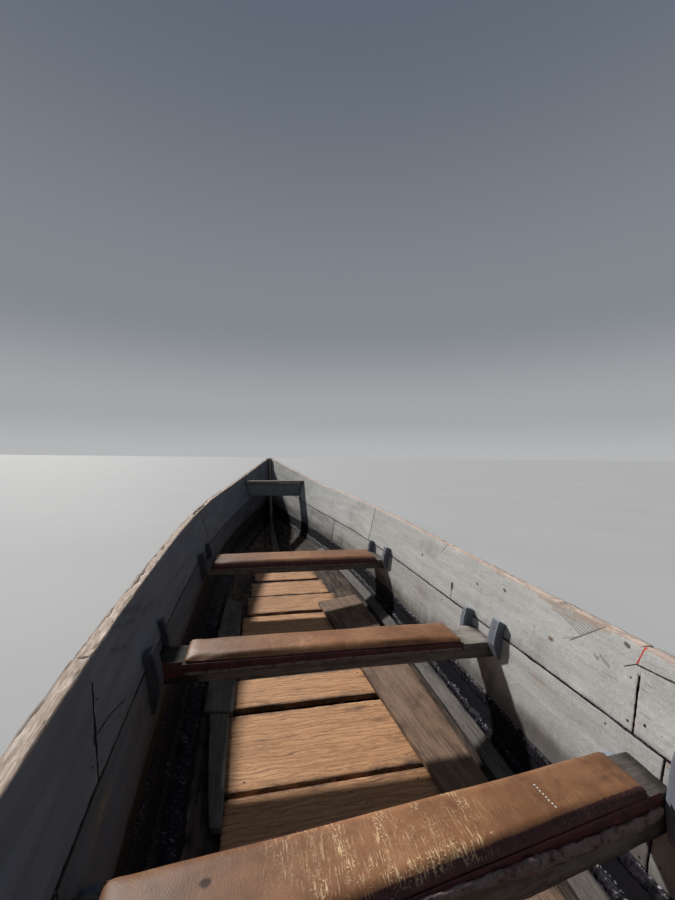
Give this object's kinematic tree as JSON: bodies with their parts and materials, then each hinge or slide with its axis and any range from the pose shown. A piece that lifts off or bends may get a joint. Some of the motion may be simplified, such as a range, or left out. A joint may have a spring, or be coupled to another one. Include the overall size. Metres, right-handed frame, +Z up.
{
  "type": "wooden plank canoe",
  "caption": "Long open plank canoe with a raked pointed bow, narrow transom stern, plank thwarts with padded tops held by cleats, and loose floor planks.",
  "frame": {"origin": "on the waterline, on the centreline, at mid-length", "axes": "+X to starboard, +Y to the bow, +Z up"},
  "size_m": [1.3382, 8.5644, 1.1204],
  "materials": {
    "painted_wood": "weathered paint",
    "hull_wood": "weathered",
    "thwart_wood": "weathered",
    "board_wood": "rough sawn",
    "floor_wood": "rough sawn",
    "vinyl": "worn",
    "tar": "tarred"
  },
  "bodies": {
    "root": {"bilge_batten_starboard": "board_wood", "bilge_plank_port_aft": "hull_wood", "bilge_plank_port_bow": "hull_wood", "bilge_plank_port_middle": "hull_wood", "bilge_plank_starboard_aft": "hull_wood", "bilge_plank_starboard_bow": "hull_wood", "bilge_plank_starboard_middle": "hull_wood", "bottom_plank_port_aft": "hull_wood", "bottom_plank_port_bow": "hull_wood", "bottom_plank_port_middle": "hull_wood", "bottom_plank_starboard_aft": "hull_wood", "bottom_plank_starboard_bow": "hull_wood", "bottom_plank_starboard_middle": "hull_wood", "bow_board": "painted_wood", "bow_thwart": "thwart_wood", "floor_planks_aft": "floor_wood", "floor_planks_fore": "floor_wood", "floor_planks_mid": "floor_wood", "floor_side_board_port": "board_wood", "floor_side_board_starboard": "board_wood", "floor_timbers": "board_wood", "keel": "hull_wood", "lower_strake_port_aft": "painted_wood", "lower_strake_port_bow": "painted_wood", "lower_strake_port_middle": "painted_wood", "lower_strake_starboard_aft": "painted_wood", "lower_strake_starboard_bow": "painted_wood", "lower_strake_starboard_middle": "painted_wood", "seam_caulking_port": "tar", "seam_caulking_starboard": "tar", "seat_pad_aft": "vinyl", "seat_pad_fore": "vinyl", "seat_pad_middle": "vinyl", "seat_pad_near": "vinyl", "stem_post": "hull_wood", "stern_knee": "hull_wood", "thwart_aft": "thwart_wood", "thwart_cleats_aft": "painted_wood", "thwart_cleats_fore": "painted_wood", "thwart_cleats_middle": "painted_wood", "thwart_cleats_near": "painted_wood", "thwart_cleats_stern": "painted_wood", "thwart_fore": "thwart_wood", "thwart_middle": "thwart_wood", "thwart_near": "thwart_wood", "thwart_stern": "thwart_wood", "transom": "painted_wood", "upper_strake_port_aft": "painted_wood", "upper_strake_port_bow": "painted_wood", "upper_strake_port_middle": "painted_wood", "upper_strake_starboard_aft": "painted_wood", "upper_strake_starboard_bow": "painted_wood", "upper_strake_starboard_middle": "painted_wood"}
  },
  "joints": []
}
